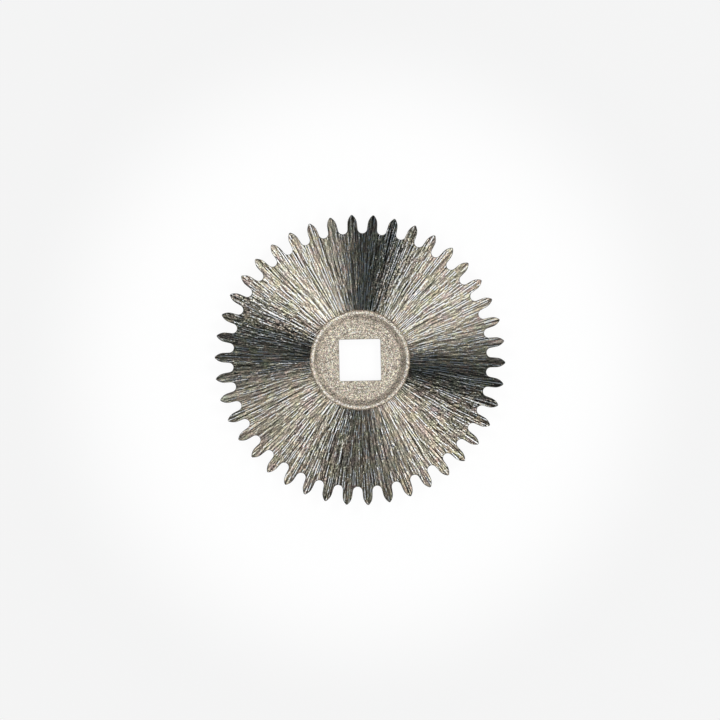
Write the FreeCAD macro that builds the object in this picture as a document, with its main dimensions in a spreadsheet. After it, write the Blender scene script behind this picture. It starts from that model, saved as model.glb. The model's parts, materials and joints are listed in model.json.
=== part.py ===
"""Ratchet wheel of a watch's winding work, as a parametric document in millimetres.

The wheel is one piece of steel. It lies flat on its back, with the origin at the centre of
the back face, +Z along its axis out of the brushed face, and +X across the flats of the
square hole.
"""

import FreeCAD, Part
import math
import os

import Sketcher
from FreeCAD import Vector

# Driving dimensions: alias, value and what it measures, in millimetres or degrees.
DIMENSIONS = [
    ("wheel_thickness", 0.4, "back face to brushed face"),
    ("tip_diameter", 7.0, "across the tooth tips"),
    ("tooth_count", 42, "teeth round the rim"),
    ("tooth_turn", -2.2, "turn of the first tooth from the square's +X side"),
    ("tooth_depth", 0.445, "tooth tips to the bottoms of the tooth spaces"),
    ("ogive_depth", 0.205, "tooth tips to the shoulders where the flanks begin"),
    ("tooth_thickness", 0.23, "tooth thickness at the shoulders"),
    ("flank_angle", 3.2, "lean of each flank from the middle of its tooth"),
    ("tip_land", 0.03, "width left of the rim at each tip"),
    ("tooth_edge_break", 0.012, "broken edges round the teeth, on the brushed face"),
    ("square_side", 1.0, "square hole, across its flats"),
    ("square_corner", 0.04, "radius in the square's corners"),
    ("square_edge_break", 0.01, "broken edges of the square, on both sides"),
    ("recess_diameter", 2.42, "outer edge of the sunk centre"),
    ("recess_depth", 0.16, "brushed face to the floor of the sunk centre"),
    ("step_width", 0.02, "width of the sloping step at the recess's edge"),
    ("step_depth", 0.03, "depth of that step"),
    ("ring_width", 0.08, "width of the rounded ring inside the step"),
    ("ring_fall", 0.012, "how far the ring falls towards the centre"),
    ("ring_round", 0.085, "radius of the ring's rounded top"),
    ("wall_lean", 0.015, "how far the wall inside the ring leans in"),
    ("wall_depth", 0.045, "height of that wall"),
    ("cone_width", 0.13, "width of the cone between the wall and the flat floor"),
]
PARTS_FOLDER = "parts"
START, END, CENTRE = 1, 2, 3
X_AXIS, Y_AXIS, ORIGIN = -1, -2, (-1, 1)
CLOSE = 1e-6


class Drawing:
    """A sketch on one of the body's origin planes, its dimensions bound to the sheet."""

    def __init__(self, body, size, name, role):
        self.size = size
        self.sketch = body.newObject("Sketcher::SketchObject", name)
        self.sketch.AttachmentSupport = [(origin_item(body, role), "")]
        self.sketch.MapMode = "FlatFace"
        self.sketch.Visibility = False

    def line(self, start, end, construction=False):
        """Add a straight line."""
        return self.sketch.addGeometry(Part.LineSegment(start, end), construction)

    def arc(self, start, through, end):
        """Add an arc, stored anticlockwise, and tell which of its ends are start and end."""
        found = Part.Circle(start, through, end)
        circle = Part.Circle(found.Center, Vector(0, 0, 1), found.Radius)
        ends = circle.parameter(start), circle.parameter(end)
        if (through - start).cross(end - through).z > 0:
            return self.sketch.addGeometry(Part.ArcOfCircle(circle, *ends)), START, END
        return self.sketch.addGeometry(Part.ArcOfCircle(circle, *ends[::-1])), END, START

    def circle(self, radius, formula, construction=True):
        """Add a circle about the origin."""
        circle = Part.Circle(Vector(0, 0, 0), Vector(0, 0, 1), radius)
        index = self.sketch.addGeometry(circle, construction)
        self.tie("Coincident", index, CENTRE, *ORIGIN)
        self.drive(formula, "Radius", index, radius)
        return index

    def tie(self, kind, *where):
        """Add a constraint."""
        return self.sketch.addConstraint(Sketcher.Constraint(kind, *where))

    def drive(self, formula, kind, *where):
        """Add a dimension that starts at a value and then follows a formula."""
        self.sketch.setExpression(f"Constraints[{self.tie(kind, *where)}]", formula)

    def measure(self, alias, kind, *where):
        """Add a dimension that is one of the driving ones."""
        self.drive(f"Dimensions.{alias}", kind, *where, self.size[alias])

    def measure_half(self, alias, kind, *where):
        """Add a dimension that is half of a driving one."""
        self.drive(f"Dimensions.{alias} / 2", kind, *where, self.size[alias] / 2)


class ToothSpace:
    """The gap between two teeth, worked out about its own middle line.

    Points are given along the middle line from the wheel's axis, and across it towards
    the left tooth. The gap has a full-round gullet, two flanks, and two ogives that end
    at the corners of the tips' lands. Its two sides mirror each other.
    """

    def __init__(self, size):
        self.half_pitch = math.pi / size["tooth_count"]
        self.turn = math.radians(size["tooth_turn"]) + self.half_pitch
        self.tip = size["tip_diameter"] / 2
        self.shoulder = self.tip - size["ogive_depth"]
        self.root = self.tip - size["tooth_depth"]
        lean = self.half_pitch + math.radians(size["flank_angle"])
        into_tooth = Vector(-math.sin(lean), math.cos(lean), 0)

        self.shoulder_point = self.beside_tooth(self.shoulder, size["tooth_thickness"] / 2)
        self.land_point = self.beside_tooth(self.tip, size["tip_land"] / 2)
        self.outer_point = self.land_point + Vector(size["tooth_depth"], 0, 0)

        # The gullet touches the root circle on the middle line, and both flanks.
        self.root_point = Vector(self.root, 0, 0)
        reach = (self.shoulder_point - self.root_point).dot(into_tooth)
        gullet = reach / (1 + into_tooth.x)
        self.touch_point = self.root_point + Vector(gullet, 0, 0) + into_tooth * gullet

        # The ogive leaves the flank without a kink and ends at the tip's land.
        run = self.land_point - self.shoulder_point
        ogive = run.Length**2 / (2 * run.dot(into_tooth))
        centre = self.shoulder_point + into_tooth * ogive
        outward = (self.shoulder_point + run / 2 - centre).normalize()
        self.ogive_point = centre + outward * ogive

    def beside_tooth(self, radius, offset):
        """Find the point at a radius that lies that far from the left tooth's middle."""
        angle = self.half_pitch - math.asin(offset / radius)
        return Vector(radius * math.cos(angle), radius * math.sin(angle), 0)

    def left(self, point):
        """Place a point of the left side on the wheel."""
        cos, sin = math.cos(self.turn), math.sin(self.turn)
        return Vector(point.x * cos - point.y * sin, point.x * sin + point.y * cos, 0)

    def right(self, point):
        """Place the mirror image of a left point on the wheel."""
        return self.left(Vector(point.x, -point.y, 0))


def origin_item(body, role):
    """Find one of the body's own origin planes or axes, such as XY_Plane."""
    return next(item for item in body.Origin.OriginFeatures if item.Role == role)


def edge_names(feature, wanted):
    """Name the edges of a feature's shape that pass a test."""
    edges = enumerate(feature.Shape.Edges, start=1)
    return [f"Edge{number}" for number, edge in edges if wanted(edge)]


def lies_at(edge, height):
    """Tell whether an edge lies flat at a height."""
    return all(abs(vertex.Z - height) < CLOSE for vertex in edge.Vertexes)


def middle_radius(edge):
    """Measure how far an edge's middle lies from the wheel's axis."""
    middle = edge.valueAt((edge.FirstParameter + edge.LastParameter) / 2)
    return math.hypot(middle.x, middle.y)


def fill_sheet(doc):
    """Write the driving dimensions into a spreadsheet and return them by alias."""
    sheet = doc.addObject("Spreadsheet::Sheet", "Dimensions")
    for row, (alias, value, meaning) in enumerate(DIMENSIONS, start=1):
        sheet.set(f"A{row}", alias)
        sheet.set(f"B{row}", str(value))
        sheet.set(f"C{row}", meaning)
        sheet.setAlias(f"B{row}", alias)
    doc.recompute()
    return {alias: value for alias, value, meaning in DIMENSIONS}


def pad_blank(body, size):
    """Raise the round blank, as wide as the tooth tips, and break its upper edge."""
    drawing = Drawing(body, size, "blank_outline", "XY_Plane")
    drawing.circle(size["tip_diameter"] / 2, "Dimensions.tip_diameter / 2", False)
    blank = body.newObject("PartDesign::Pad", "blank")
    blank.Profile = drawing.sketch
    blank.setExpression("Length", "Dimensions.wheel_thickness")
    body.Document.recompute()
    rim_edge = body.newObject("PartDesign::Chamfer", "rim_edge")
    rim_edge.Base = (blank, edge_names(blank, lambda edge: lies_at(edge, size["wheel_thickness"])))
    rim_edge.setExpression("Size", "Dimensions.tooth_edge_break")


def turn_recess(body, size):
    """Turn the sunk centre: a step, a rounded ring, a wall, a cone and a flat floor."""
    drawing = Drawing(body, size, "recess_section", "XZ_Plane")
    edge = Vector(size["recess_diameter"] / 2, size["wheel_thickness"], 0)
    step_foot = edge - Vector(size["step_width"], size["step_depth"], 0)
    ring_foot = step_foot - Vector(size["ring_width"], size["ring_fall"], 0)
    wall_foot = ring_foot - Vector(size["wall_lean"], size["wall_depth"], 0)
    floor_edge = Vector(wall_foot.x - size["cone_width"], edge.y - size["recess_depth"], 0)
    floor_middle = Vector(0, floor_edge.y, 0)
    face_middle = Vector(0, edge.y, 0)
    half_chord = (step_foot - ring_foot) / 2
    crown = size["ring_round"] - math.sqrt(size["ring_round"] ** 2 - half_chord.Length**2)
    upward = Vector(-half_chord.y, half_chord.x, 0).normalize()
    ring_top = ring_foot + half_chord + upward * crown

    face = drawing.line(face_middle, edge)
    step = drawing.line(edge, step_foot)
    ring, ring_outside, ring_inside = drawing.arc(step_foot, ring_top, ring_foot)
    wall = drawing.line(ring_foot, wall_foot)
    cone = drawing.line(wall_foot, floor_edge)
    floor = drawing.line(floor_edge, floor_middle)
    axis = drawing.line(floor_middle, face_middle)
    drawing.tie("Coincident", face, END, step, START)
    drawing.tie("Coincident", step, END, ring, ring_outside)
    drawing.tie("Coincident", ring, ring_inside, wall, START)
    drawing.tie("Coincident", wall, END, cone, START)
    drawing.tie("Coincident", cone, END, floor, START)
    drawing.tie("Coincident", floor, END, axis, START)
    drawing.tie("Coincident", axis, END, face, START)
    drawing.tie("Horizontal", face)
    drawing.tie("Horizontal", floor)
    drawing.tie("PointOnObject", face, START, Y_AXIS)
    drawing.tie("PointOnObject", floor, END, Y_AXIS)
    drawing.measure("wheel_thickness", "DistanceY", *ORIGIN, face, START)
    drawing.measure_half("recess_diameter", "DistanceX", *ORIGIN, face, END)
    drawing.measure("recess_depth", "DistanceY", cone, END, face, END)
    drawing.measure("step_width", "DistanceX", step, END, step, START)
    drawing.measure("step_depth", "DistanceY", step, END, step, START)
    drawing.measure("ring_width", "DistanceX", wall, START, step, END)
    drawing.measure("ring_fall", "DistanceY", wall, START, step, END)
    drawing.measure("ring_round", "Radius", ring)
    drawing.measure("wall_lean", "DistanceX", wall, END, wall, START)
    drawing.measure("wall_depth", "DistanceY", wall, END, wall, START)
    drawing.measure("cone_width", "DistanceX", cone, END, cone, START)

    recess = body.newObject("PartDesign::Groove", "recess")
    recess.Profile = drawing.sketch
    recess.ReferenceAxis = (drawing.sketch, ["V_Axis"])
    recess.Angle = 360


def cut_through(body, name, sketch):
    """Cut an outline on the back face right through the wheel."""
    pocket = body.newObject("PartDesign::Pocket", name)
    pocket.Profile = sketch
    pocket.Type = "ThroughAll"
    pocket.Reversed = True
    body.Document.recompute()
    return pocket


def cut_square(body, size):
    """Cut the square hole, round its corners and break its edges."""
    drawing = Drawing(body, size, "square_outline", "XY_Plane")
    half = size["square_side"] / 2
    corners = [Vector(half, half), Vector(-half, half), Vector(-half, -half), Vector(half, -half)]
    sides = [drawing.line(corners[index - 1], corners[index]) for index in range(4)]
    right, top, left, bottom = sides
    for index in range(4):
        drawing.tie("Coincident", sides[index - 1], END, sides[index], START)
    drawing.tie("Horizontal", top)
    drawing.tie("Horizontal", bottom)
    drawing.tie("Vertical", left)
    drawing.tie("Vertical", right)
    drawing.tie("Equal", top, left)
    drawing.tie("Symmetric", top, START, bottom, START, *ORIGIN)
    drawing.measure("square_side", "DistanceX", top, END, top, START)
    hole = cut_through(body, "square_hole", drawing.sketch)
    reach = math.hypot(half, half) + CLOSE
    floor = size["wheel_thickness"] - size["recess_depth"]

    def is_mouth(edge):
        return middle_radius(edge) < reach and (lies_at(edge, 0) or lies_at(edge, floor))

    def is_corner(edge):
        return middle_radius(edge) < reach and not is_mouth(edge)

    rounded = body.newObject("PartDesign::Fillet", "square_corners")
    rounded.Base = (hole, edge_names(hole, is_corner))
    rounded.setExpression("Radius", "Dimensions.square_corner")
    body.Document.recompute()
    mouths = body.newObject("PartDesign::Chamfer", "square_edges")
    mouths.Base = (rounded, edge_names(rounded, is_mouth))
    mouths.setExpression("Size", "Dimensions.square_edge_break")
    body.Document.recompute()


def draw_tooth_space(body, size):
    """Sketch the gap between the first tooth and the next."""
    drawing = Drawing(body, size, "tooth_space_outline", "XY_Plane")
    space = ToothSpace(size)
    tip_radius = "Dimensions.tip_diameter / 2"
    tip_circle = drawing.circle(space.tip, tip_radius)
    shoulder_circle = drawing.circle(space.shoulder, f"{tip_radius} - Dimensions.ogive_depth")
    root_circle = drawing.circle(space.root, f"{tip_radius} - Dimensions.tooth_depth")

    middle = drawing.line(Vector(), space.left(Vector(space.outer_point.x, 0, 0)), True)
    tooth = drawing.line(Vector(), space.left(space.beside_tooth(space.tip, 0)), True)
    drawing.tie("Coincident", middle, START, *ORIGIN)
    drawing.tie("Coincident", tooth, START, *ORIGIN)
    drawing.tie("PointOnObject", tooth, END, tip_circle)
    half_pitch = "180 / Dimensions.tooth_count"
    turn = f"Dimensions.tooth_turn + {half_pitch}"
    drawing.drive(turn, "Angle", X_AXIS, middle, space.turn)
    drawing.drive(half_pitch, "Angle", middle, tooth, space.half_pitch)

    gullet, gullet_right, gullet_left = drawing.arc(
        space.right(space.touch_point), space.left(space.root_point), space.left(space.touch_point)
    )
    drawing.tie("PointOnObject", gullet, CENTRE, middle)
    drawing.tie("Tangent", gullet, root_circle)

    def draw_side(place, gullet_end):
        """Draw a flank, its ogive, and a cheek that runs out past the tips."""
        flank = drawing.line(place(space.touch_point), place(space.shoulder_point))
        ogive, ogive_start, ogive_end = drawing.arc(
            place(space.shoulder_point), place(space.ogive_point), place(space.land_point)
        )
        cheek = drawing.line(place(space.land_point), place(space.outer_point))
        drawing.tie("Tangent", gullet, gullet_end, flank, START)
        drawing.tie("Tangent", flank, END, ogive, ogive_start)
        drawing.tie("Coincident", ogive, ogive_end, cheek, START)
        drawing.tie("Parallel", cheek, middle)
        return flank, cheek

    flank, cheek = draw_side(space.left, gullet_left)
    right_flank, right_cheek = draw_side(space.right, gullet_right)
    closing = drawing.line(space.left(space.outer_point), space.right(space.outer_point))
    drawing.tie("Coincident", closing, START, cheek, END)
    drawing.tie("Coincident", closing, END, right_cheek, END)
    drawing.tie("Perpendicular", closing, middle)
    drawing.tie("PointOnObject", middle, END, closing)
    drawing.tie("PointOnObject", flank, END, shoulder_circle)
    drawing.tie("PointOnObject", cheek, START, tip_circle)
    drawing.tie("Symmetric", flank, END, right_flank, END, middle)
    drawing.tie("Symmetric", cheek, START, right_cheek, START, middle)
    drawing.measure_half("tooth_thickness", "Distance", flank, END, tooth)
    drawing.measure_half("tip_land", "Distance", cheek, START, tooth)
    lean = math.radians(size["flank_angle"])
    drawing.drive("Dimensions.flank_angle", "Angle", tooth, flank, lean)
    drawing.measure("tooth_depth", "Distance", cheek)
    return drawing.sketch


def cut_teeth(body, size):
    """Cut one tooth space, break its edges, and repeat both round the rim."""
    space = cut_through(body, "tooth_space", draw_tooth_space(body, size))
    face_inside = size["recess_diameter"] / 2 + CLOSE
    face_outside = size["tip_diameter"] / 2 - size["tooth_edge_break"] - CLOSE

    def is_space_edge(edge):
        on_face = lies_at(edge, size["wheel_thickness"])
        return on_face and face_inside < middle_radius(edge) < face_outside

    broken = body.newObject("PartDesign::Chamfer", "tooth_space_edges")
    broken.Base = (space, edge_names(space, is_space_edge))
    broken.SupportTransform = True
    broken.setExpression("Size", "Dimensions.tooth_edge_break")
    teeth = body.newObject("PartDesign::PolarPattern", "teeth")
    teeth.Originals = [broken]
    teeth.Axis = (origin_item(body, "Z_Axis"), [""])
    teeth.Angle = 360
    teeth.setExpression("Occurrences", "Dimensions.tooth_count")
    body.Tip = teeth
    body.Document.recompute()


def check(doc):
    """Stop if an object failed to compute or a feature is not a sound solid."""
    for item in doc.Objects:
        if {"Invalid", "Error"} & set(item.State):
            raise RuntimeError(f"{item.Name} did not compute: {item.State}")
        if item.isDerivedFrom("PartDesign::Feature"):
            if item.Shape.isNull() or not item.Shape.isValid():
                raise RuntimeError(f"{item.Name} is not a sound solid")


def main():
    doc = FreeCAD.newDocument("ratchet_wheel")
    size = fill_sheet(doc)
    wheel = doc.addObject("PartDesign::Body", "ratchet_wheel")
    wheel.Label = "ratchet_wheel"
    pad_blank(wheel, size)
    turn_recess(wheel, size)
    cut_square(wheel, size)
    cut_teeth(wheel, size)
    doc.recompute()
    check(doc)
    os.makedirs(PARTS_FOLDER, exist_ok=True)
    wheel.Shape.exportStep(f"{PARTS_FOLDER}/{wheel.Label}.step")
    print(f"{wheel.Label}: {wheel.Shape.Volume:.4f} mm3, {len(wheel.Shape.Faces)} faces")


main()
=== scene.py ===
"""Ratchet wheel of a watch's winding work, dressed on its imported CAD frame.

The wheel lies on its back on a white table and is seen from straight above. One closed mesh
stands for the CAD solid: pointed teeth round a sun-brushed face, a sand-matt sunk centre and
a square hole. Shapes are in metres, in the CAD's own frame. Finishes are in millimetres,
apart from depths, which are in metres.
"""

import json
import logging
import math
from collections.abc import Mapping, Sequence
from dataclasses import dataclass, field
from enum import Enum
from typing import Any

import bpy
from bpy.types import ID, Material, Mesh, Node, NodeSocket, NodeTree, Object
from mathutils import Matrix, Vector

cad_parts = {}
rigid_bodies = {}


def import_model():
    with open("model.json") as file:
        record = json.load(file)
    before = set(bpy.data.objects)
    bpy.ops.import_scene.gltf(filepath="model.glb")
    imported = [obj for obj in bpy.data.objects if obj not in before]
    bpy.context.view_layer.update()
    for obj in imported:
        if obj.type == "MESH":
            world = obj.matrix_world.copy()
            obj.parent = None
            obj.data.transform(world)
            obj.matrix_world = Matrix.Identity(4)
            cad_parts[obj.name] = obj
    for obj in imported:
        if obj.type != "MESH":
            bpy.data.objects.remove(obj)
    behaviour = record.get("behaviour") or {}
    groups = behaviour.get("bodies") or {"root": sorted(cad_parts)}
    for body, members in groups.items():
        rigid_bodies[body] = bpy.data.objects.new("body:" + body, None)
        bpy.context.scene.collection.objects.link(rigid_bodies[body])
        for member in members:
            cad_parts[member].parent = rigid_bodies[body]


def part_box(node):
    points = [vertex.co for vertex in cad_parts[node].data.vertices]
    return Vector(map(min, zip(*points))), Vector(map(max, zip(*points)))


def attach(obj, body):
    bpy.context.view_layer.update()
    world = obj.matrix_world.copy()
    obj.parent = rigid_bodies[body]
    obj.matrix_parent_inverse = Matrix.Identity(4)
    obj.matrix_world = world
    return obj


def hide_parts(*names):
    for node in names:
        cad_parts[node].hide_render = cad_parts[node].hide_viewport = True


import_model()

MM = 0.001
MICRON = 0.000001
HALF = 0.5
NODE = "ratchet_wheel"
FINISH_ATTRIBUTE = "finish"
# The point attribute that carries painted shade along the teeth's edges.
EDGE_SHADE_ATTRIBUTE = "wear"

# Types of node sockets.
NUMBER = "NodeSocketFloat"
VECTOR = "NodeSocketVector"
TINT = "NodeSocketColor"

# The level of a height map that leaves a surface as it is.
EVEN = 0.5

# A place times this loses its height above the back.
FLAT = (1.0, 1.0, 0.0)

Colour = tuple[float, float, float]
Value = Any

log = logging.getLogger("ratchet_wheel")


class Finish(Enum):
    """The finish that a face of the wheel shows."""

    BRUSHED_FACE = 0
    SUNK_CENTRE = 1
    TOOTH_SIDES = 2
    BROKEN_EDGES = 3
    PLAIN_BACK = 4


@dataclass(frozen=True)
class Fade:
    """A number that eases from at_low to at_high while another goes from low to high."""

    low: float
    high: float
    at_low: float = 0.0
    at_high: float = 1.0


class Graph:
    """Wires one node tree, whether a material's, the world's, a group's or a modifier's."""

    def __init__(self, tree: NodeTree) -> None:
        """Start on an empty tree."""
        self.tree = tree
        tree.nodes.clear()

    def add(self, kind: str, inputs: Mapping[str | int, Value] | None = None, **settings: Value) -> Node:
        """Add a node, set its options, and link or set its inputs.

        Args:
            kind: Blender's name for the node's type.
            inputs: a socket to link or a value to set, by input name or number.
            **settings: the node's own options.

        Returns:
            The new node.
        """
        node = self.tree.nodes.new(kind)
        for name, value in settings.items():
            setattr(node, name, value)
        for name, value in (inputs or {}).items():
            if isinstance(value, NodeSocket):
                self.tree.links.new(value, node.inputs[name])
            else:
                node.inputs[name].default_value = value
        return node

    def math(self, operation: str, *values: Value) -> NodeSocket:
        """Work out one number from others."""
        return self.add("ShaderNodeMath", dict(enumerate(values)), operation=operation).outputs[0]

    def vector(self, operation: str, *values: Value) -> NodeSocket:
        """Work out one vector from others."""
        inputs = dict(enumerate(values))
        return self.add("ShaderNodeVectorMath", inputs, operation=operation).outputs[0]

    def joined(self, *values: Value) -> NodeSocket:
        """Join up to three numbers into a vector."""
        return self.add("ShaderNodeCombineXYZ", dict(enumerate(values))).outputs[0]

    def scaled(self, vector: Value, factor: Value) -> NodeSocket:
        """Scale a vector by a factor."""
        inputs = {0: vector, "Scale": factor}
        return self.add("ShaderNodeVectorMath", inputs, operation="SCALE").outputs[0]

    def length(self, vector: Value) -> NodeSocket:
        """Measure how long a vector is."""
        node = self.add("ShaderNodeVectorMath", {0: vector}, operation="LENGTH")
        return node.outputs["Value"]

    def from_axis(self, across: Value, up: Value) -> NodeSocket:
        """Measure how far a place lies from the axis."""
        squares = [self.math("MULTIPLY", side, side) for side in (across, up)]
        return self.math("SQRT", self.math("ADD", *squares))

    def fade(self, value: Value, fade: Fade) -> NodeSocket:
        """Read a fade at a value, easing in and out.

        Args:
            value: the number that the fade follows.
            fade: where it starts and ends, and what it gives at both.

        Returns:
            The eased number.
        """
        ends = {"Value": value, "From Min": fade.low, "From Max": fade.high}
        ends |= {"To Min": fade.at_low, "To Max": fade.at_high}
        node = self.add("ShaderNodeMapRange", ends, interpolation_type="SMOOTHSTEP")
        return node.outputs["Result"]

    def noise(self, place: Value, scale: Value, detail: float, roughness: float = 0.5) -> Node:
        """Place soft noise of a scale, with finer detail of a roughness."""
        inputs = {"Vector": place, "Scale": scale, "Detail": detail, "Roughness": roughness}
        return self.add("ShaderNodeTexNoise", inputs)

    def dice(self, first: Value, second: Value) -> Node:
        """Draw a number and a colour at random for each pair of whole numbers."""
        inputs = {"Vector": self.joined(first, second)}
        return self.add("ShaderNodeTexWhiteNoise", inputs, noise_dimensions="2D")

    def blend(self, factor: Value, first: Value, second: Value, mode: str = "MIX") -> NodeSocket:
        """Blend two colours.

        Args:
            factor: the second colour's share.
            first: the colour at factor 0.
            second: the colour at factor 1.
            mode: Blender's blend mode.

        Returns:
            The blended colour.
        """
        inputs = {0: factor, 6: opaque(first), 7: opaque(second)}
        return self.add("ShaderNodeMix", inputs, data_type="RGBA", blend_type=mode).outputs[2]


def opaque(colour: Value) -> Value:
    """Give a plain colour its alpha of 1, and leave a socket as it is."""
    return (*colour, 1.0) if isinstance(colour, tuple) else colour


def new_group(
    name: str, inputs: Mapping[str, str], outputs: Mapping[str, str]
) -> tuple[Graph, dict[str, NodeSocket]]:
    """Start a shader node group.

    Args:
        name: the group's name.
        inputs: socket type, by input name.
        outputs: socket type, by output name.

    Returns:
        The group's graph, and what it is given, by input name.
    """
    tree = bpy.data.node_groups.new(name, "ShaderNodeTree")
    for side, sockets in (("INPUT", inputs), ("OUTPUT", outputs)):
        for label, kind in sockets.items():
            tree.interface.new_socket(label, in_out=side, socket_type=kind)
    graph = Graph(tree)
    return graph, dict(zip(inputs, graph.add("NodeGroupInput").outputs))


class Effects:
    """The surface effects that several finishes share, each a shader node group."""

    # The radius within which scratches crowd no further.
    NEAREST = 0.01
    # Stroke lengths that the lanes' starts are spread over.
    START_SPREAD = 10.0
    # Beads along one stroke.
    BEADS = 6.0
    # Radians from one seed's direction to the next one's.
    SEED_TURN = 2.4
    # Lanes from one seed to the next, more than any uses.
    SEED_LANES = 1000.0
    # How much a noise's colours are strengthened.
    TINT_GAIN = 6.0

    def __init__(self) -> None:
        """Build every group once."""
        self.scratches = self.build_scratches()
        self.strokes = self.build_strokes(self.build_stroke())
        self.sand = self.build_sand()
        self.grain = self.build_grain()
        self.turning = self.build_turning()
        self.flecks = self.build_flecks()

    @staticmethod
    def build_scratches() -> NodeTree:
        """Build radial scratches, of a count round the wheel and a length along them.

        Returns:
            The group.
        """
        inputs = {"Place": VECTOR, "Count": NUMBER, "Length": NUMBER, "Seed": NUMBER}
        graph, given = new_group("radial_scratches", inputs, {"Depth": NUMBER})
        place = graph.add("ShaderNodeSeparateXYZ", {0: given["Place"]})
        across, up = place.outputs[0], place.outputs[1]
        radius = graph.from_axis(across, up)
        per_radian = graph.math("DIVIDE", given["Count"], math.tau)
        spread = graph.math("DIVIDE", per_radian, graph.math("MAXIMUM", radius, Effects.NEAREST))
        along = graph.math("DIVIDE", radius, given["Length"])
        unrolled = graph.joined(
            graph.math("MULTIPLY", across, spread),
            graph.math("MULTIPLY", up, spread),
            graph.math("ADD", along, given["Seed"]),
        )
        noise = graph.noise(unrolled, 1.0, detail=1.0, roughness=0.8)
        graph.add("NodeGroupOutput", {"Depth": noise.outputs[0]})
        return graph.tree

    @staticmethod
    def build_stroke() -> NodeTree:
        """Build one lane of brush strokes, end to end, each of its own even depth and hue.

        The strokes are one unit long and start anywhere along the lane. Beading is how far
        their depth changes from bead to bead.

        Returns:
            The group.
        """
        inputs = {"Lane": NUMBER, "Along": NUMBER, "Beading": NUMBER}
        graph, given = new_group("stroke_lane", inputs, {"Depth": NUMBER, "Hue": TINT})
        lane = given["Lane"]
        start = graph.add("ShaderNodeTexWhiteNoise", {"W": lane}, noise_dimensions="1D")
        along = graph.math(
            "MULTIPLY_ADD", start.outputs["Value"], Effects.START_SPREAD, given["Along"]
        )
        drawn = graph.dice(lane, graph.math("FLOOR", along))
        bead = graph.math("FLOOR", graph.math("MULTIPLY", along, Effects.BEADS))
        beaded = graph.dice(bead, lane)
        change = graph.math("SUBTRACT", beaded.outputs["Value"], drawn.outputs["Value"])
        depth = graph.math("MULTIPLY_ADD", change, given["Beading"], drawn.outputs["Value"])
        graph.add("NodeGroupOutput", {"Depth": depth, "Hue": drawn.outputs["Color"]})
        return graph.tree

    @staticmethod
    def build_strokes(lane_of_strokes: NodeTree) -> NodeTree:
        """Build the strokes of a brush drawn outwards, each set off against its neighbour.

        A turn of the wheel holds Count lanes side by side. They come from a point at a
        distance Aside from the axis, in a direction of the seed's own, so that the strokes
        of two seeds cross. Each lane holds strokes of the given length and width, and the
        surface is even beside them.

        Args:
            lane_of_strokes: the group that fills one lane.

        Returns:
            The group.
        """
        numbers = ("Count", "Length", "Width", "Aside", "Beading", "Seed")
        inputs = {"Place": VECTOR, **dict.fromkeys(numbers, NUMBER)}
        graph, given = new_group("brush_strokes", inputs, {"Depth": NUMBER, "Hue": TINT})
        place = graph.add("ShaderNodeSeparateXYZ", {0: given["Place"]})
        towards = graph.math("MULTIPLY", given["Seed"], Effects.SEED_TURN)
        aside = given["Aside"]
        across = graph.math("MULTIPLY_ADD", graph.math("COSINE", towards), aside, place.outputs[0])
        up = graph.math("MULTIPLY_ADD", graph.math("SINE", towards), aside, place.outputs[1])
        radius = graph.from_axis(across, up)
        per_radian = graph.math("DIVIDE", given["Count"], math.tau)
        turn = graph.math("MULTIPLY", graph.math("ARCTAN2", up, across), per_radian)
        lane = graph.math("FLOOR", turn)
        seeded = graph.math("MULTIPLY_ADD", given["Seed"], Effects.SEED_LANES, lane)
        along = graph.math("DIVIDE", radius, given["Length"])
        own, neighbour = [
            graph.add(
                "ShaderNodeGroup",
                {"Lane": number, "Along": along, "Beading": given["Beading"]},
                node_tree=lane_of_strokes,
            )
            for number in (seeded, graph.math("ADD", seeded, 1.0))
        ]
        lane_width = graph.math("DIVIDE", radius, per_radian)
        share = graph.math("DIVIDE", given["Width"], lane_width)
        off_middle = graph.math("SUBTRACT", graph.math("SUBTRACT", turn, lane), HALF)
        inside = graph.math(
            "LESS_THAN", graph.math("ABSOLUTE", off_middle), graph.math("MULTIPLY", share, HALF)
        )
        difference = graph.math("SUBTRACT", own.outputs["Depth"], neighbour.outputs["Depth"])
        contrast = graph.math("MULTIPLY", difference, HALF)
        depth = graph.math("MULTIPLY_ADD", contrast, inside, EVEN)
        graph.add("NodeGroupOutput", {"Depth": depth, "Hue": own.outputs["Hue"]})
        return graph.tree

    @staticmethod
    def build_sand() -> NodeTree:
        """Build the grain that blasting with fine sand leaves: a tone for each pit, and a depth.

        Returns:
            The group.
        """
        inputs = {"Place": VECTOR, "Grain Size": NUMBER}
        graph, given = new_group("sand_grain", inputs, {"Tone": NUMBER, "Depth": NUMBER})
        place = given["Place"]
        scale = graph.math("DIVIDE", 1.0, given["Grain Size"])
        pits = graph.add("ShaderNodeTexVoronoi", {"Vector": place, "Scale": scale})
        tone = graph.add("ShaderNodeSeparateColor", {0: pits.outputs["Color"]}).outputs[0]
        noise = graph.noise(place, scale, detail=0.5, roughness=0.7)
        graph.add("NodeGroupOutput", {"Tone": tone, "Depth": noise.outputs[0]})
        return graph.tree

    @staticmethod
    def build_grain() -> NodeTree:
        """Build the grain of a fine tool, of a given size, squeezed by a factor each way.

        Returns:
            The group.
        """
        inputs = {"Place": VECTOR, "Squeeze": VECTOR, "Grain Size": NUMBER}
        graph, given = new_group("tool_grain", inputs, {"Depth": NUMBER})
        squeezed = graph.vector("MULTIPLY", given["Place"], given["Squeeze"])
        scale = graph.math("DIVIDE", 1.0, given["Grain Size"])
        noise = graph.noise(squeezed, scale, detail=1.5, roughness=0.7)
        graph.add("NodeGroupOutput", {"Depth": noise.outputs[0]})
        return graph.tree

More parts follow.
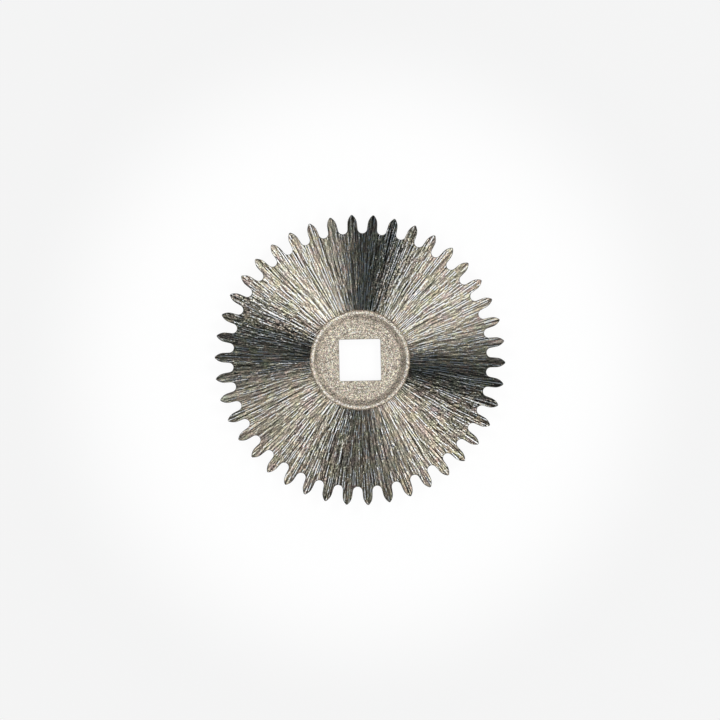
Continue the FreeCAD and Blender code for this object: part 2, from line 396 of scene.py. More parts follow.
    @staticmethod
    def build_turning() -> NodeTree:
        """Build the rings that a turning tool leaves, of a given spacing.

        Returns:
            The group.
        """
        inputs = {"Place": VECTOR, "Spacing": NUMBER}
        graph, given = new_group("turning_marks", inputs, {"Depth": NUMBER})
        radius = graph.length(graph.vector("MULTIPLY", given["Place"], FLAT))
        rings = {"W": graph.math("DIVIDE", radius, given["Spacing"]), "Scale": 1.0, "Detail": 1.0}
        noise = graph.add("ShaderNodeTexNoise", rings, noise_dimensions="1D")
        graph.add("NodeGroupOutput", {"Depth": noise.outputs[0]})
        return graph.tree

    @staticmethod
    def build_flecks() -> NodeTree:
        """Build faint flecks of rose, green and blue, as thin oxide shows on steel.

        Returns:
            The group.
        """
        inputs = {"Place": VECTOR, "Size": NUMBER, "Strength": NUMBER}
        graph, given = new_group("oxide_flecks", inputs, {"Tint": TINT})
        scale = graph.math("DIVIDE", 1.0, given["Size"])
        noise = graph.noise(given["Place"], scale, detail=1.0)
        centred = graph.vector("SUBTRACT", noise.outputs["Color"], (EVEN,) * 3)
        strength = graph.math("MULTIPLY", given["Strength"], Effects.TINT_GAIN)
        tint = graph.vector("ADD", graph.scaled(centred, strength), (1.0, 1.0, 1.0))
        graph.add("NodeGroupOutput", {"Tint": tint})
        return graph.tree


class Paint:
    """One material being mixed: its graph, and its places in millimetres."""

    def __init__(self, name: str, effects: Effects) -> None:
        """Start a material on the object's own coordinates.

        Args:
            name: the material's name.
            effects: the effects that it can use.
        """
        self.material = bpy.data.materials.new(name)
        self.material.use_nodes = True
        self.graph = Graph(self.material.node_tree)
        self.effects = effects
        place = self.graph.add("ShaderNodeTexCoord").outputs["Object"]
        self.place = self.graph.scaled(place, 1 / MM)
        self.flat = self.graph.vector("MULTIPLY", self.place, FLAT)
        self.radius = self.graph.length(self.flat)
        split = self.graph.add("ShaderNodeSeparateXYZ", {0: self.place})
        self.across, self.up = split.outputs[0], split.outputs[1]

    def effect(self, tree: NodeTree, output: str | int = 0, **values: Value) -> NodeSocket:
        """Place a shared effect and return one of its outputs.

        Args:
            tree: the effect's node group.
            output: the output's name, or its number.
            **values: its inputs, with an underscore for each space.

        Returns:
            The output.
        """
        inputs = {name.replace("_", " "): value for name, value in values.items()}
        inputs["Place"] = self.place
        return self.graph.add("ShaderNodeGroup", inputs, node_tree=tree).outputs[output]

    def total(self, *layers: tuple[NodeSocket, float]) -> NodeSocket:
        """Add height maps up about zero.

        Args:
            *layers: height maps, each with its weight.

        Returns:
            The sum, which is 0 where all of them are even.
        """
        total: Value = 0.0
        for height, weight in layers:
            centred = self.graph.math("SUBTRACT", height, EVEN)
            total = self.graph.math("MULTIPLY_ADD", centred, weight, total)
        return total

    def shaded(self, colour: Value, *shades: NodeSocket) -> NodeSocket:
        """Darken or lighten a colour by numbers about 1.

        Args:
            colour: the colour to start from.
            *shades: the numbers, each of which multiplies it.

        Returns:
            The shaded colour.
        """
        for shade in shades:
            grey = self.graph.joined(shade, shade, shade)
            colour = self.graph.blend(1.0, colour, grey, "MULTIPLY")
        return colour

    def tinted(self, colour: Value, size: float, strength: float) -> NodeSocket:
        """Lay oxide flecks of a size and a strength over a colour."""
        tint = self.effect(self.effects.flecks, Size=size, Strength=strength)
        return self.graph.blend(1.0, colour, tint, "MULTIPLY")

    def bump(self, height: Value, depth: float) -> NodeSocket:
        """Raise a surface by a height map, whose full range is a depth in metres."""
        inputs = {"Height": height, "Distance": depth, "Strength": 1.0}
        return self.graph.add("ShaderNodeBump", inputs).outputs["Normal"]

    def finish(self, shader: Mapping[str, Value]) -> Material:
        """Close the material with a metal shader.

        Args:
            shader: the shader's inputs by name.

        Returns:
            The finished material.
        """
        metal = self.graph.add("ShaderNodeBsdfPrincipled", {"Metallic": 1.0, **shader})
        self.graph.add("ShaderNodeOutputMaterial", {"Surface": metal.outputs[0]})
        return self.material


@dataclass(frozen=True)
class Strokes:
    """Brush strokes of one kind. A width above their lanes' own fills the lanes."""

    count: float
    seed: float
    length: float = 0.6
    width: float = 1.0
    aside: float = 0.1
    beading: float = 0.0

    def lay(self, paint: Paint, output: str = "Depth") -> NodeSocket:
        """Lay the strokes on a material and return one of their outputs."""
        inputs = {name.title(): size for name, size in vars(self).items()}
        return paint.effect(paint.effects.strokes, output, **inputs)


@dataclass(frozen=True)
class BrushedSteel:
    """Steel brushed outwards from the middle, so that it shines across its strokes.

    Fine strokes cover three zones of the face, each with more lanes than the last. Over
    them lie longer ones: the highest hairs are light, the lowest threads dark. The fade
    of the teeth's rims reads the painted edge shade, light_hair and dark_thread read the
    strokes' height map, and the others read a radius, or how far up or across a place
    lies. The colour carries painted shade: darker rims and tips on the teeth, a darker
    band round the sunk centre and a darker lower half.
    """

    colour: Colour = (0.469, 0.411, 0.325)
    fleck_size: float = 0.25
    fleck_strength: float = 0.055
    zones: tuple[Strokes, ...] = (
        Strokes(435.0, seed=1.0, beading=0.35),
        Strokes(605.0, seed=2.0, beading=0.35),
        Strokes(800.0, seed=3.0, beading=0.35),
    )
    zone_joins: tuple[Fade, ...] = (Fade(1.8, 2.0), Fade(2.5, 2.7))
    hairs: Strokes = Strokes(340.0, seed=5.0, length=1.2, width=0.026, aside=0.12)
    threads: Strokes = Strokes(340.0, seed=7.0, length=1.2, width=0.026, aside=0.12)
    light_hair: Fade = Fade(0.78, 0.82, 0.0, 0.8)
    dark_thread: Fade = Fade(0.2, 0.24, -1.5, 0.0)
    hues: Strokes = Strokes(420.0, seed=8.0, length=0.3)
    hue_strength: float = 0.08
    grain_size: float = 0.03
    stroke_contrast: float = 6.9
    grain_contrast: float = 2.3
    # Painted shade: the teeth's rims are darkened, as if their rolled edges turned from the lamps.
    worn_rim: Fade = Fade(0.0, 1.0, 1.0, 0.6)
    # Painted shade: the teeth are darker out towards their tips.
    worn_teeth: Fade = Fade(2.9, 3.1, 1.0, 0.92)
    # Painted shade: a darker band on the face round the sunk centre.
    dark_step: Fade = Fade(1.2, 1.32, 0.72, 1.0)
    # Painted shade: the face is darker towards the bottom.
    haze: Fade = Fade(-1.5, 1.5, 0.75, 0.97)
    roughness: Fade = Fade(-2.4, 0.0, 0.4, 0.36)
    anisotropy: float = 1.0
    hair_stray: float = 0.3
    stroke_stray: float = 0.16
    grain_stray: float = 0.8
    stray_below: Fade = Fade(-1.9, -0.7, 2.1, 1.0)
    stray_left: Fade = Fade(-1.9, -0.9, 1.5, 1.0)
    scratch_count: float = 160.0
    scratch_length: float = 2.0
    scratch_seed: float = 3.0
    scratch_depth: float = 1.5 * MICRON

    def make(self, effects: Effects) -> Material:
        """Mix the material.

        Args:
            effects: the effects that it can use.

        Returns:
            The material.
        """
        paint = Paint("sun_brushed_steel", effects)
        graph = paint.graph
        strokes = self.brush(paint)
        hairs = self.hairs.lay(paint)
        grain = paint.effect(effects.sand, "Depth", Grain_Size=self.grain_size)
        fine = paint.total((strokes, self.stroke_contrast), (grain, self.grain_contrast))
        light = graph.fade(hairs, self.light_hair)
        dark = graph.fade(self.threads.lay(paint), self.dark_thread)
        tone = graph.math("EXPONENT", graph.math("ADD", fine, graph.math("ADD", light, dark)))
        stray = paint.total(
            (hairs, self.hair_stray), (strokes, self.stroke_stray), (grain, self.grain_stray)
        )
        scratches = paint.effect(
            effects.scratches,
            Count=self.scratch_count,
            Length=self.scratch_length,
            Seed=self.scratch_seed,
        )
        return paint.finish(
            {
                "Base Color": self.dye(paint, tone),
                "Roughness": graph.fade(paint.up, self.roughness),
                "Anisotropic": self.anisotropy,
                "Tangent": self.direction(paint, stray),
                "Normal": paint.bump(scratches, self.scratch_depth),
            }
        )

    def brush(self, paint: Paint) -> NodeSocket:
        """Lay the fine strokes, zone by zone from the middle out.

        Args:
            paint: the material being mixed.

        Returns:
            The height map of all zones.
        """
        graph = paint.graph
        height, *outer_zones = [zone.lay(paint) for zone in self.zones]
        for outer, join in zip(outer_zones, self.zone_joins, strict=True):
            change = graph.math("SUBTRACT", outer, height)
            height = graph.math("MULTIPLY_ADD", change, graph.fade(paint.radius, join), height)
        return height

    def dye(self, paint: Paint, tone: NodeSocket) -> NodeSocket:
        """Colour the steel.

        Args:
            paint: the material being mixed.
            tone: how light each stroke is, about 1.

        Returns:
            The colour, with faint hues, and painted shade at the teeth's rims and tips, round the sunk
            centre and towards the bottom.
        """
        graph = paint.graph
        # Painted shade along the teeth's edges, read from the points.
        wear = graph.add("ShaderNodeAttribute", attribute_name=EDGE_SHADE_ATTRIBUTE).outputs["Fac"]
        rim = graph.fade(wear, self.worn_rim)
        # Painted shade on the teeth towards their tips.
        teeth = graph.fade(paint.radius, self.worn_teeth)
        # Painted shade round the sunk centre.
        step = graph.fade(paint.radius, self.dark_step)
        # Painted shade towards the bottom of the face.
        haze = graph.fade(paint.up, self.haze)
        spread = (self.hue_strength,) * 3
        weakest = (1.0 - self.hue_strength * HALF,) * 3
        hue = graph.vector("MULTIPLY_ADD", self.hues.lay(paint, "Hue"), spread, weakest)
        steel = paint.tinted(self.colour, self.fleck_size, self.fleck_strength)
        return paint.shaded(graph.blend(1.0, steel, hue, "MULTIPLY"), tone, rim, teeth, step, haze)

    def direction(self, paint: Paint, stray: NodeSocket) -> NodeSocket:
        """Point across the strokes.

        Args:
            paint: the material being mixed.
            stray: how far each stroke strays from straight outwards, to either side.

        Returns:
            The direction, which strays more on the left and below.
        """
        graph = paint.graph
        stray = graph.math("MULTIPLY", stray, graph.fade(paint.up, self.stray_below))
        stray = graph.math("MULTIPLY", stray, graph.fade(paint.across, self.stray_left))
        around = graph.add("ShaderNodeTangent", direction_type="RADIAL", axis="Z").outputs[0]
        outwards = graph.vector("NORMALIZE", paint.flat)
        return graph.vector("ADD", around, graph.scaled(outwards, stray))


@dataclass(frozen=True)
class SandMattSteel:
    """Steel blasted with fine sand: even, pale and grainy, with painted shade on its cone and step and a
    painted highlight on its ring.

    The cone, the ring and what lies outside it each add their share to the shade, which is
    painted: shade on the cone, a highlight on the ring and shade on the step outside it.
    """

    colour: Colour = (0.474, 0.414, 0.342)
    fleck_size: float = 0.05
    fleck_strength: float = 0.05
    roughness: float = 0.6
    grain_size: float = 0.016
    grain_contrast: float = 2.1
    mark_spacing: float = 0.05
    mark_contrast: float = 0.6
    # Painted shade on the cone, a painted highlight on the ring and painted shade on the step outside
    # it.
    cone: Fade = Fade(0.93, 1.06, 1.0, 0.62)
    ring: Fade = Fade(1.08, 1.11, 0.0, 0.76)
    outside: Fade = Fade(1.15, 1.185, 0.0, -0.62)
    depth: float = 4 * MICRON

    def make(self, effects: Effects) -> Material:
        """Mix the material.

        Args:
            effects: the effects that it can use.

        Returns:
            The material.
        """
        paint = Paint("sand_matt_steel", effects)
        graph = paint.graph
        grain = paint.effect(effects.sand, Grain_Size=self.grain_size)
        pits = paint.effect(effects.sand, "Depth", Grain_Size=self.grain_size)
        marks = paint.effect(effects.turning, Spacing=self.mark_spacing)
        tone = paint.total((grain, self.grain_contrast), (marks, self.mark_contrast))
        # The painted shade and highlight of the cone, the ring and the step.
        cone = graph.fade(paint.radius, self.cone)
        ring = graph.fade(paint.radius, self.ring)
        outside = graph.fade(paint.radius, self.outside)
        shade = graph.math("ADD", graph.math("ADD", cone, ring), outside)
        steel = paint.tinted(self.colour, self.fleck_size, self.fleck_strength)
        return paint.finish(
            {
                "Base Color": paint.shaded(steel, graph.math("EXPONENT", tone), shade),
                "Roughness": self.roughness,
                "Normal": paint.bump(pits, self.depth),
            }
        )


@dataclass(frozen=True)
class SatinSteel:
    """Plain machined steel, its fine grain drawn out the way the tool went."""

    name: str
    squeeze: tuple[float, float, float] = (1.0, 1.0, 1.0)
    colour: Colour = (0.5, 0.47, 0.42)
    roughness: float = 0.42
    grain_size: float = 0.025
    grain_contrast: float = 1.5
    depth: float = 1 * MICRON

    def make(self, effects: Effects) -> Material:
        """Mix the material.

        Args:
            effects: the effects that it can use.

        Returns:
            The material.
        """
        paint = Paint(self.name, effects)
        grain = paint.effect(effects.grain, Grain_Size=self.grain_size, Squeeze=self.squeeze)
        tone = paint.graph.math("EXPONENT", paint.total((grain, self.grain_contrast)))
        return paint.finish(
            {
                "Base Color": paint.shaded(self.colour, tone),
                "Roughness": self.roughness,
                "Normal": paint.bump(grain, self.depth),
            }
        )


@dataclass(frozen=True)
class Row:
    """A run of points at one height, its painted edge shade, and the finish up to the next row."""

    points: Sequence[Vector]
    height: float
    finish: Finish
    wear: float = 0.0


def arc(centre: Vector, start: Vector, end: Vector, steps: int) -> list[Vector]:
    """Walk the short way round an arc.

    Args:
        centre: the arc's centre.
        start: where it starts.
        end: the direction in which it ends.
        steps: how many equal steps it takes.

    Returns:
        The points after each step, start left out.
    """
    spoke = start - centre
    towards = end - centre
    turn = math.atan2(spoke.cross(towards), spoke.dot(towards))
    turns = [Matrix.Rotation(turn * step / steps, 2) for step in range(1, steps + 1)]
    return [centre + rotation @ spoke for rotation in turns]


def on_circle(radius: float, angle: float) -> Vector:
    """Find a point on a circle about the wheel's axis."""
    return Vector((radius * math.cos(angle), radius * math.sin(angle)))


def new_object(name: str, data: ID) -> Object:
    """Put a new object into the scene.

    Args:
        name: the object's name.
        data: its mesh, lamp or camera.

    Returns:
        The object.
    """
    made = bpy.data.objects.new(name, data)
    bpy.context.scene.collection.objects.link(made)
    return made


def strip(name: str, rows: Sequence[Row], closed: bool) -> Object:
    """Lay four-sided faces between neighbouring rows of equal length.

    Args:
        name: the new object's name.
        rows: the rows, in order.
        closed: whether each row runs back into its first point.

    Returns:
        An object whose faces carry their finish as a number.
    """
    across = len(rows[0].points)
    corners = [(*point, row.height) for row in rows for point in row.points]
    faces = []
    finishes = []
    for number, row in enumerate(rows[:-1]):
        for column in range(across if closed else across - 1):
            near = number * across + column
            beside = number * across + (column + 1) % across
            faces.append((near, beside, beside + across, near + across))
            finishes.append(row.finish.value)
    mesh = bpy.data.meshes.new(name)
    mesh.from_pydata(corners, [], faces)
    attribute = mesh.attributes.new(FINISH_ATTRIBUTE, "INT", "FACE")
    attribute.data.foreach_set("value", finishes)
    # Each point's share of the painted shade along the teeth's edges.
    attribute = mesh.attributes.new(EDGE_SHADE_ATTRIBUTE, "FLOAT", "POINT")
    attribute.data.foreach_set("value", [row.wear for row in rows for _ in row.points])
    return new_object(name, mesh)


@dataclass(frozen=True)
class Teeth:
    """The pointed teeth, and the outline of half a tooth with half a space."""

    count: int = 42
    turn: float = math.radians(-2.2)
    tip_radius: float = 3.5 * MM
    depth: float = 0.445 * MM
    ogive_depth: float = 0.205 * MM
    thickness: float = 0.23 * MM
    flank_angle: float = math.radians(3.2)
    land: float = 0.03 * MM
    edge_break: float = 0.012 * MM
    # How far in from the broken edge the painted edge shade reaches.
    worn_edge: float = 0.032 * MM
    ogive_steps: int = 6
    gullet_steps: int = 8

    @property
    def half_pitch(self) -> float:
        """Half the angle from one tooth to the next."""
        return math.pi / self.count

    @property
    def half_steps(self) -> int:
        """Steps in half a pitch: half the land, the ogive, the flank and half the gullet."""
        return 1 + self.ogive_steps + 1 + self.gullet_steps

    def half_outline(self, inset: float) -> list[Vector]:
        """Draw half a tooth and half a space, set in from the real outline.

        The tooth's middle lies along +X. The ogive and the gullet keep their centres
        when the outline is set in, so that the band between the two is even.

        Args:
            inset: how far the outline is moved into the metal.

        Returns:
            Points from the middle of the tip to the middle of the space.
        """
        root = self.tip_radius - self.depth
        shoulder_radius = self.tip_radius - self.ogive_depth
        away = Vector((math.sin(self.flank_angle), math.cos(self.flank_angle)))
        shoulder = on_circle(shoulder_radius, math.asin(self.thickness / 2 / shoulder_radius))
        corner = on_circle(self.tip_radius, math.asin(self.land / 2 / self.tip_radius))

        run = corner - shoulder
        ogive = -run.length_squared / (2 * run.dot(away))
        ogive_centre = shoulder - away * ogive
        middle = on_circle(1.0, self.half_pitch)
        lean = middle.dot(away)
        gullet = (lean * root - shoulder.dot(away)) / (1 - lean)
        gullet_centre = middle * (root + gullet)

        tip = Vector((self.tip_radius - inset, 0.0))
        inner_corner = self.crossing(tip.x, ogive_centre, ogive - inset)
        inner_shoulder = shoulder - away * inset
        touch = gullet_centre - away * (gullet + inset)
        return [
            tip,
            inner_corner,
            *arc(ogive_centre, inner_corner, inner_shoulder, self.ogive_steps),
            touch,
            *arc(gullet_centre, touch, middle * (root - inset), self.gullet_steps),
        ]

    @staticmethod
    def crossing(radius: float, centre: Vector, other_radius: float) -> Vector:
        """Find where a circle about the axis crosses another, on the +Y side.

        Args:
            radius: the radius of the circle about the axis.
            centre: the other circle's centre.
            other_radius: the other circle's radius.

        Returns:
            The crossing point.
        """
        apart = centre.length
        along = (radius**2 - other_radius**2 + apart**2) / (2 * apart)
        aside = math.sqrt(radius**2 - along**2)
        towards = centre / apart
        normal = Vector((-towards.y, towards.x))
        crossings = [towards * along + normal * side for side in (aside, -aside)]
        return max(crossings, key=lambda point: point.y)

    def whole(self, half: Sequence[Vector]) -> list[Vector]:
        """Mirror half a pitch into a whole one and turn it to the first tooth's place.

        Args:
            half: points from the middle of a pitch to its end.

        Returns:
            The points of the whole pitch.
        """
        mirrored = [Vector((point.x, -point.y)) for point in reversed(half[1:])]
        place = Matrix.Rotation(self.turn, 2)
        return [place @ point for point in (*mirrored, *half)]

    def outline(self, inset: float = 0.0) -> list[Vector]:
        """Draw the first tooth with half a space on either side."""
        return self.whole(self.half_outline(inset))

    def circle(self, radius: float) -> list[Vector]:
        """Draw the stretch of a circle that lies behind the first tooth."""
        step = self.half_pitch / self.half_steps
        return self.whole([on_circle(radius, step * number) for number in range(self.half_steps + 1)])


@dataclass(frozen=True)
class SunkCentre:
    """The sunk centre's turned section: step, rounded ring, wall, cone and flat floor."""

    edge_radius: float = 1.21 * MM
    depth: float = 0.16 * MM
    step_width: float = 0.02 * MM
    step_depth: float = 0.03 * MM
    ring_width: float = 0.08 * MM
    ring_fall: float = 0.012 * MM
    ring_round: float = 0.085 * MM
    wall_lean: float = 0.015 * MM
    wall_depth: float = 0.045 * MM
    cone_width: float = 0.13 * MM
    seam_radius: float = 0.85 * MM
    ring_steps: int = 8

    def section(self) -> list[Vector]:
        """Draw the section from the face's edge to the seam in the floor.

        Returns:
            Points whose X is the radius and whose Y is the height above the face.
        """
        edge = Vector((self.edge_radius, 0.0))
        step_foot = edge - Vector((self.step_width, self.step_depth))
        ring_foot = step_foot - Vector((self.ring_width, self.ring_fall))
        wall_foot = ring_foot - Vector((self.wall_lean, self.wall_depth))
        floor_edge = Vector((wall_foot.x - self.cone_width, -self.depth))
        chord = step_foot - ring_foot
        below = Vector((chord.y, -chord.x)).normalized()
        drop = math.sqrt(self.ring_round**2 - chord.length_squared / 4)
        centre = ring_foot + chord / 2 + below * drop
        ring = arc(centre, step_foot, ring_foot, self.ring_steps)
        seam = Vector((self.seam_radius, -self.depth))
        return [edge, step_foot, *ring, wall_foot, floor_edge, seam]


@dataclass(frozen=True)
class SquareHole:
    """The square hole, with rounded corners and broken edges."""

    side: float = 1.0 * MM
    corner: float = 0.04 * MM
    edge_break: float = 0.01 * MM

    def outline(self, angles: Sequence[float], widened: float = 0.0) -> list[Vector]:
        """Draw the hole's outline at given angles about the axis.

        Args:
            angles: the direction of each point.
            widened: how far the outline is moved into the metal.

        Returns:
            One point for each angle.
        """
        half = self.side / 2 + widened
        round_centre = self.side / 2 - self.corner
        corner = self.corner + widened
        return [on_circle(self.reach(half, round_centre, corner, angle), angle) for angle in angles]

    @staticmethod
    def reach(half: float, round_centre: float, corner: float, angle: float) -> float:
        """Measure from the axis to the outline in one direction.

        Args:
            half: half the outline's side.
            round_centre: how far the corners' centres lie from both middle lines.
            corner: the corners' radius.
            angle: the direction.

        Returns:
            The distance.
        """
        small, large = sorted((abs(math.cos(angle)), abs(math.sin(angle))))
        if half * small / large <= round_centre:
            return half / large
        diagonal = round_centre * (small + large)
        return diagonal + math.sqrt(diagonal**2 - 2 * round_centre**2 + corner**2)


class RoundTree:
    """The geometry nodes that repeat one tooth's sector round the axis and weld it shut."""

    COPIES = "Copies"
    CENTRE = "Centre"
    WELD = "Weld Distance"

    def __init__(self, materials: Mapping[Finish, Material]) -> None:
        """Build the tree, with an input for each size and each finish.

        Args:
            materials: the material of each finish.
        """
        self.materials = materials
        self.tree = bpy.data.node_groups.new("teeth_round_axis", "GeometryNodeTree")
        self.ids: dict[str, str] = {}
        for label, kind in {
            "Sector": "NodeSocketGeometry",
            self.COPIES: "NodeSocketInt",
            self.CENTRE: "NodeSocketObject",
            self.WELD: "NodeSocketFloat",
            **{finish.name: "NodeSocketMaterial" for finish in materials},
        }.items():
            socket = self.tree.interface.new_socket(label, in_out="INPUT", socket_type=kind)
            self.ids[label] = socket.identifier
        self.tree.interface.new_socket("Wheel", in_out="OUTPUT", socket_type="NodeSocketGeometry")
        self.wire()

    def wire(self) -> None:
        """Wire the tree: copies round the axis, the centre, the weld and the finishes."""
        graph = Graph(self.tree)
        given = graph.add("NodeGroupInput")
        copies = given.outputs[self.COPIES]
        spots = graph.add("GeometryNodeMeshLine", {"Count": copies, "Offset": (0.0, 0.0, 0.0)})
        pitch = graph.math("DIVIDE", math.tau, copies)
        number = graph.add("GeometryNodeInputIndex")
        turn = graph.joined(0.0, 0.0, graph.math("MULTIPLY", number.outputs[0], pitch))
        places = {"Points": spots.outputs[0], "Instance": given.outputs["Sector"], "Rotation": turn}
        teeth = graph.add("GeometryNodeInstanceOnPoints", places)
        rim = graph.add("GeometryNodeRealizeInstances", {0: teeth.outputs[0]})
        centre = graph.add("GeometryNodeObjectInfo", {"Object": given.outputs[self.CENTRE]})
        whole = graph.add("GeometryNodeJoinGeometry")
        graph.tree.links.new(rim.outputs[0], whole.inputs[0])
        graph.tree.links.new(centre.outputs["Geometry"], whole.inputs[0])
        weld = {"Geometry": whole.outputs[0], "Distance": given.outputs[self.WELD]}
        wheel = graph.add("GeometryNodeMergeByDistance", weld).outputs[0]
        shown = graph.add("GeometryNodeInputNamedAttribute", {"Name": FINISH_ATTRIBUTE}, data_type="INT")
        for finish in self.materials:
            same = graph.add("FunctionNodeCompare", data_type="INT", operation="EQUAL")
            graph.tree.links.new(shown.outputs[0], same.inputs[2])
            same.inputs[3].default_value = finish.value
            dress = {"Selection": same.outputs[0], "Material": given.outputs[finish.name]}
            wheel = graph.add("GeometryNodeSetMaterial", {"Geometry": wheel, **dress}).outputs[0]
        graph.add("NodeGroupOutput", {"Wheel": wheel})

    def grow(self, sector: Object, centre: Object, copies: int, weld: float) -> Mesh:
        """Run the tree once and keep its result as a plain mesh.

        Args:
            sector: one tooth's sector of the wheel.
            centre: the piece round the square hole, which fills the sectors' middle.
            copies: how many sectors go round.
            weld: how near points are that become one.

        Returns:
            The whole wheel's mesh, closed, with its finishes.
        """
        modifier = sector.modifiers.new("teeth_round_axis", "NODES")
        modifier.node_group = self.tree
        modifier[self.ids[self.COPIES]] = copies
        modifier[self.ids[self.CENTRE]] = centre
        modifier[self.ids[self.WELD]] = weld
        for finish, material in self.materials.items():
            modifier[self.ids[finish.name]] = material
        evaluated = sector.evaluated_get(bpy.context.evaluated_depsgraph_get())
        mesh = bpy.data.meshes.new_from_object(evaluated)
        for used in (sector, centre):
            bpy.data.objects.remove(used)
        return mesh


@dataclass(frozen=True)
class Wheel:
    """The wheel itself: teeth, sunk centre and square hole on one closed mesh."""

    thickness: float
    teeth: Teeth = field(default_factory=Teeth)
    sunk: SunkCentre = field(default_factory=SunkCentre)
    hole: SquareHole = field(default_factory=SquareHole)
    face_radii: tuple[float, ...] = (2.9 * MM, 2.5 * MM, 2.1 * MM, 1.7 * MM)
    weld: float = 0.05 * MICRON
    crease: float = math.radians(18.0)

    def sector(self) -> Object:
        """Build one tooth's sector, from the seam in the back round to that in the floor.

        Returns:
            An open mesh object, one pitch wide.
        """
        top = self.thickness
        rim = self.teeth.outline()
        back_radii = (self.sunk.seam_radius, *reversed(self.face_radii))
        rows = [
            *(Row(self.teeth.circle(radius), 0.0, Finish.PLAIN_BACK) for radius in back_radii),
            Row(rim, 0.0, Finish.TOOTH_SIDES),
            Row(rim, top - self.teeth.edge_break, Finish.BROKEN_EDGES),
            # The painted edge shade is full here and gone by the next row in.
            Row(self.teeth.outline(self.teeth.edge_break), top, Finish.BRUSHED_FACE, wear=1.0),
            Row(self.teeth.outline(self.teeth.worn_edge), top, Finish.BRUSHED_FACE),
            *(Row(self.teeth.circle(radius), top, Finish.BRUSHED_FACE) for radius in self.face_radii),
            *(
                Row(self.teeth.circle(point.x), top + point.y, Finish.SUNK_CENTRE)
                for point in self.sunk.section()
            ),
        ]
        return strip("sector", rows, closed=False)

    def centre(self) -> Object:
        """Build the metal between the seams and the square hole.

        Returns:
            A mesh object that is open at both seams.
        """
        steps = self.teeth.count * self.teeth.half_steps * 2
        first = self.teeth.turn - self.teeth.half_pitch
        angles = [first + math.tau * step / steps for step in range(steps)]
        seam = [on_circle(self.sunk.seam_radius, angle) for angle in angles]
        wall = self.hole.outline(angles)
        mouth = self.hole.outline(angles, self.hole.edge_break)
        floor = self.thickness - self.sunk.depth
        rows = [
            Row(seam, floor, Finish.SUNK_CENTRE),
            Row(mouth, floor, Finish.TOOTH_SIDES),
            Row(wall, floor - self.hole.edge_break, Finish.TOOTH_SIDES),
            Row(wall, self.hole.edge_break, Finish.TOOTH_SIDES),
            Row(mouth, 0.0, Finish.PLAIN_BACK),
            Row(seam, 0.0, Finish.PLAIN_BACK),
        ]
        return strip("centre", rows, closed=True)

    def build(self, materials: Mapping[Finish, Material]) -> Object:
        """Build the wheel and dress it.

        Args:
            materials: the material of each finish.

        Returns:
            The wheel's one piece.
        """
        tree = RoundTree(materials)
        mesh = tree.grow(self.sector(), self.centre(), self.teeth.count, self.weld)
        mesh.name = "wheel"
        mesh.shade_smooth()
        mesh.set_sharp_from_angle(angle=self.crease)
        return new_object("wheel", mesh)


@dataclass(frozen=True)
class Softbox:
    """A flat studio lamp that looks at the wheel, placed by angles about its axis."""

    azimuth: float
    share: float = 1.0
    tilt: float = 42.0
    distance: float = 80 * MM
    width: float = 46 * MM
    height: float = 22 * MM

    def build(self, name: str, power: float) -> None:
        """Hang the lamp.

        Args:
            name: the lamp's name.
            power: the power of a lamp whose share is 1.
        """
        around, lean = math.radians(self.azimuth), math.radians(self.tilt)
        towards = Vector((*on_circle(math.sin(lean), around), math.cos(lean)))
        lamp = bpy.data.lights.new(name, "AREA")
        lamp.shape = "RECTANGLE"
        lamp.size = self.width
        lamp.size_y = self.height
        lamp.energy = power * self.share
        made = new_object(name, lamp)
        made.location = towards * self.distance
        made.rotation_euler = towards.to_track_quat("Z", "Y").to_euler()
        made.visible_camera = False


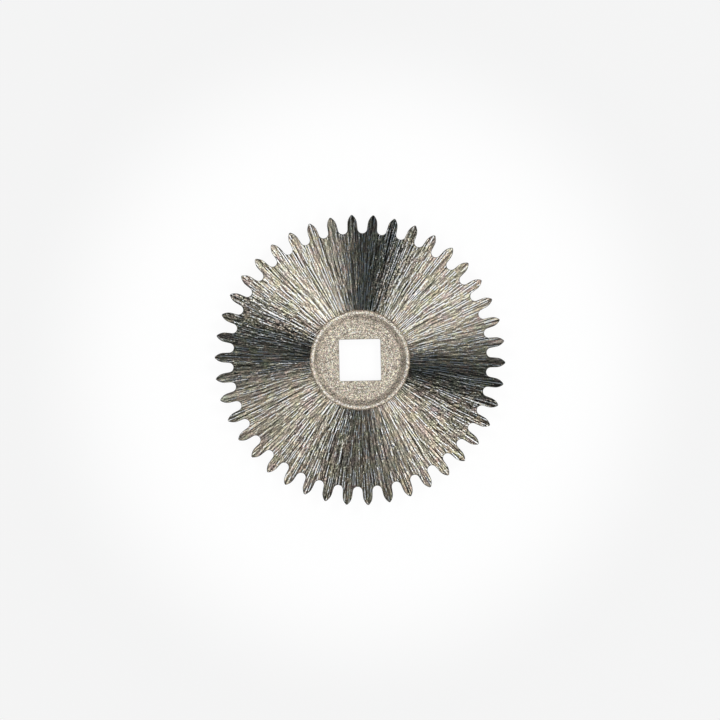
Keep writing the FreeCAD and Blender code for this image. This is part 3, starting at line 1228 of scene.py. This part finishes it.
@dataclass(frozen=True)
class Studio:
    """The table, backdrop, lamps, dim room and camera."""

    softboxes: tuple[Softbox, ...] = (
        Softbox(36.0, share=1.1),
        Softbox(123.5, share=0.77, width=52 * MM),
        Softbox(216.0, share=0.88),
        Softbox(309.5, share=1.38, width=62 * MM),
    )
    power: float = 0.0227
    room_colour: Colour = (0.0225, 0.0385, 0.051)
    table_radius: float = 250 * MM
    table_steps: int = 96
    table_drop: float = 2 * MICRON
    backdrop_height: float = 30 * MM
    frame_width: float = 17.346 * MM
    lens: float = 200.0
    sensor: float = 36.0
    nearest_seen: float = 1 * MM
    farthest_seen: float = 1.0
    roll: float = math.radians(-1.2)
    white_share: float = 0.94
    matt_white: Colour = (0.9, 0.9, 0.9)
    # A painted pool of light: the table's white falls off beyond lit_radius.
    lit_radius: float = 4.8 * MM
    lit_white: Colour = (1.0, 1.0, 1.0)
    edge_white: Colour = (0.905, 0.905, 0.905)

    def build(self, top: float) -> None:
        """Set up the whole studio.

        Args:
            top: the height of the wheel's brushed face.
        """
        for number, softbox in enumerate(self.softboxes, start=1):
            softbox.build(f"softbox_{number}", self.power)
        self.build_room()
        self.build_table()
        self.build_camera(top)

    def build_room(self) -> None:
        """Make the room dim, so that the brushed face keeps its dark sectors."""
        world = bpy.data.worlds.new("dim_room")
        world.use_nodes = True
        graph = Graph(world.node_tree)
        room = graph.add("ShaderNodeBackground", {0: opaque(self.room_colour), 1: 1.0})
        graph.add("ShaderNodeOutputWorld", {0: room.outputs[0]})
        bpy.context.scene.world = world

    def build_table(self) -> None:
        """Lay the white table, with a low backdrop round its edge."""
        steps = self.table_steps
        turns = [math.tau * step / steps for step in range(steps)]
        edge = [on_circle(self.table_radius, turn) for turn in turns]
        middle = [on_circle(self.table_radius / steps, turn) for turn in turns]
        corners = [(*point, -self.table_drop) for point in (*middle, *edge)]
        corners += [(*point, self.backdrop_height) for point in edge]
        faces = [tuple(range(steps))]
        for ring in (0, steps):
            for step in range(steps):
                beside = (step + 1) % steps
                faces.append((ring + step, ring + steps + step, ring + steps + beside, ring + beside))
        mesh = bpy.data.meshes.new("table")
        mesh.from_pydata(corners, [], faces)
        mesh.materials.append(self.table_paint())
        new_object("table", mesh)

    def table_paint(self) -> Material:
        """Mix the table's white, which keeps a little of the wheel's shadow.

        Returns:
            The table's material.
        """
        material = bpy.data.materials.new("white_table")
        material.use_nodes = True
        graph = Graph(material.node_tree)
        path = graph.add("ShaderNodeLightPath")
        seen = graph.math("MAXIMUM", path.outputs["Is Camera Ray"], path.outputs["Is Glossy Ray"])
        seen = graph.math("MAXIMUM", seen, path.outputs["Is Transmission Ray"])
        share = graph.math("MULTIPLY", seen, self.white_share)
        matt = graph.add("ShaderNodeBsdfDiffuse", {"Color": opaque(self.matt_white)})
        white = graph.add("ShaderNodeEmission", {"Color": self.table_white(graph), "Strength": 1.0})
        top = graph.add("ShaderNodeMixShader", {0: share, 1: matt.outputs[0], 2: white.outputs[0]})
        clear = graph.add("ShaderNodeBsdfTransparent")
        side = graph.add("ShaderNodeNewGeometry")
        sides = {0: side.outputs["Backfacing"], 1: top.outputs[0], 2: clear.outputs[0]}
        table = graph.add("ShaderNodeMixShader", sides)
        graph.add("ShaderNodeOutputMaterial", {"Surface": table.outputs[0]})
        return material

    def table_white(self, graph: Graph) -> NodeSocket:
        """Paint a pool of light on the table: its white falls off from the middle to the frame's edges.

        Args:
            graph: the graph of the table's material.

        Returns:
            The white at each place.
        """
        place = graph.add("ShaderNodeTexCoord").outputs["Object"]
        fall = graph.fade(graph.length(place), Fade(self.lit_radius, self.frame_width / 2))
        return graph.blend(fall, self.lit_white, self.edge_white)

    def build_camera(self, top: float) -> None:
        """Hang the camera over the wheel, far off behind a long lens.

        Args:
            top: the height of the wheel's brushed face.
        """
        camera = bpy.data.cameras.new("camera")
        camera.lens = self.lens
        camera.sensor_width = self.sensor
        camera.clip_start = self.nearest_seen
        camera.clip_end = self.farthest_seen
        made = new_object("camera", camera)
        made.location = (0.0, 0.0, top + self.frame_width * self.lens / self.sensor)
        made.rotation_euler = (0.0, 0.0, self.roll)
        bpy.context.scene.camera = made
        bpy.context.scene.view_settings.view_transform = "Standard"


def main() -> None:
    """Build the wheel and its studio, and report each."""
    logging.basicConfig(level=logging.INFO, format="%(name)s: %(message)s")
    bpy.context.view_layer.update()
    low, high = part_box(NODE)
    effects = Effects()
    # Painted shade: the broken edges are given a dark colour, as if their bevels turned from the lamps.
    edges = SatinSteel("broken_edge_steel", colour=(0.16, 0.16, 0.15), roughness=0.5)
    materials = {
        Finish.BRUSHED_FACE: BrushedSteel().make(effects),
        Finish.SUNK_CENTRE: SandMattSteel().make(effects),
        Finish.TOOTH_SIDES: SatinSteel("satin_steel", squeeze=(1.0, 1.0, 0.1)).make(effects),
        Finish.BROKEN_EDGES: edges.make(effects),
        Finish.PLAIN_BACK: SatinSteel("back_steel", squeeze=(0.03, 1.0, 1.0)).make(effects),
    }
    wheel = Wheel(thickness=high.z - low.z).build(materials)
    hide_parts(NODE)
    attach(wheel, "root")
    log.info("%s: %d faces", wheel.name, len(wheel.data.polygons))
    Studio().build(high.z)
    log.info("studio: table, lamps and camera")


if __name__ == "__main__":
    main()
